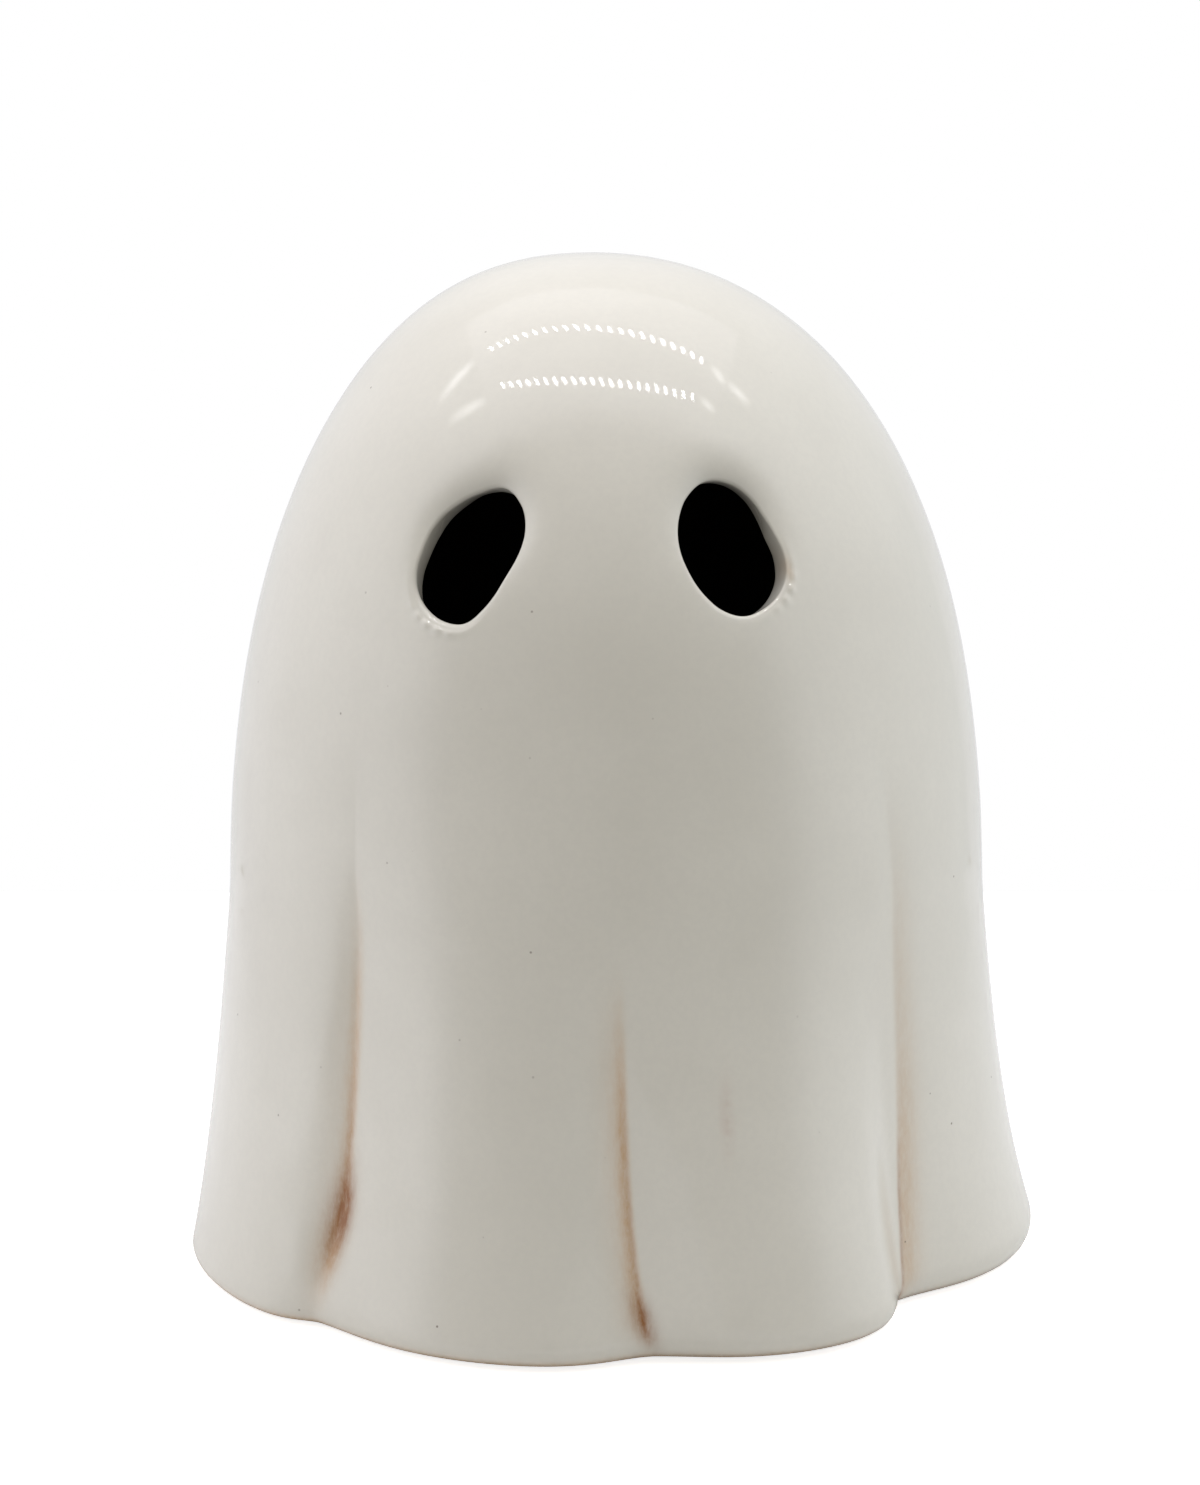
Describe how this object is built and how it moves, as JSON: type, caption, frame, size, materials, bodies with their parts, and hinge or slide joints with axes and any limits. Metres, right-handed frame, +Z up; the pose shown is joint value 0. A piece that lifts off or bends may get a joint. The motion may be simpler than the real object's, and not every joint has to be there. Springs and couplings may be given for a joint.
{
  "type": "light-up ceramic ghost figure",
  "caption": "Hollow glazed ceramic ghost draped like a sheet, with cut-out eyes and a battery lamp unit pushed up into a hole in its base.",
  "frame": {"origin": "on the surface that the ghost stands on, under the middle of its base", "axes": "+Z up, the face looks along -Y, +X is on the viewer's right"},
  "size_m": [0.1146, 0.1131, 0.135],
  "materials": {
    "glaze": "glossy off-white glaze with iron-brown stains in the folds",
    "pad": "soft matte",
    "housing_plastic": "fine matte",
    "ring_rubber": "matte",
    "screw_steel": "zinc plated",
    "board_green": "solder-masked board",
    "lamp_lens": "clear epoxy with a warm tint",
    "lead_tin": "tinned",
    "resistor_tan": "lacquered",
    "switch_black": "fine matte",
    "pin_brass": "bright",
    "cell_steel": "polished",
    "contact_nickel": "nickel plated",
    "wire_red": "satin insulation",
    "wire_black": "satin insulation",
    "wire_white": "satin insulation"
  },
  "bodies": {
    "shell": {"ghost_shell": "glaze", "foot_pad_front_left": "pad", "foot_pad_front_right": "pad", "foot_pad_back_left": "pad", "foot_pad_back_right": "pad"},
    "light_unit": {"light_housing": "housing_plastic", "base_plate": "housing_plastic", "grip_ring": "ring_rubber", "housing_screws": "screw_steel", "circuit_board": "board_green", "lamp": "lamp_lens", "lamp_leads": "lead_tin", "resistor": "resistor_tan", "switch_body": "switch_black", "switch_pins": "pin_brass", "cell_1": "cell_steel", "cell_2": "cell_steel", "cell_3": "cell_steel", "positive_contact": "contact_nickel", "negative_contact": "contact_nickel", "red_wire": "wire_red", "black_wire": "wire_black", "white_wire": "wire_white"},
    "battery_door": {"battery_door": "housing_plastic", "door_screw": "screw_steel"},
    "switch_slider": {"switch_slider": "switch_black"}
  },
  "joints": [
    {"name": "light_unit_pull", "type": "slide", "parent": "shell", "child": "light_unit", "axis": [0, 0, -1], "range_m": [0, 0.03]},
    {"name": "battery_door_hinge", "type": "hinge", "parent": "light_unit", "child": "battery_door", "pos_m": [0, 0.0081, 0.0031], "axis": [1, 0, 0], "range_deg": [0, 100]},
    {"name": "switch_slide", "type": "slide", "parent": "light_unit", "child": "switch_slider", "axis": [1, 0, 0], "range_m": [0, 0.0025]}
  ]
}
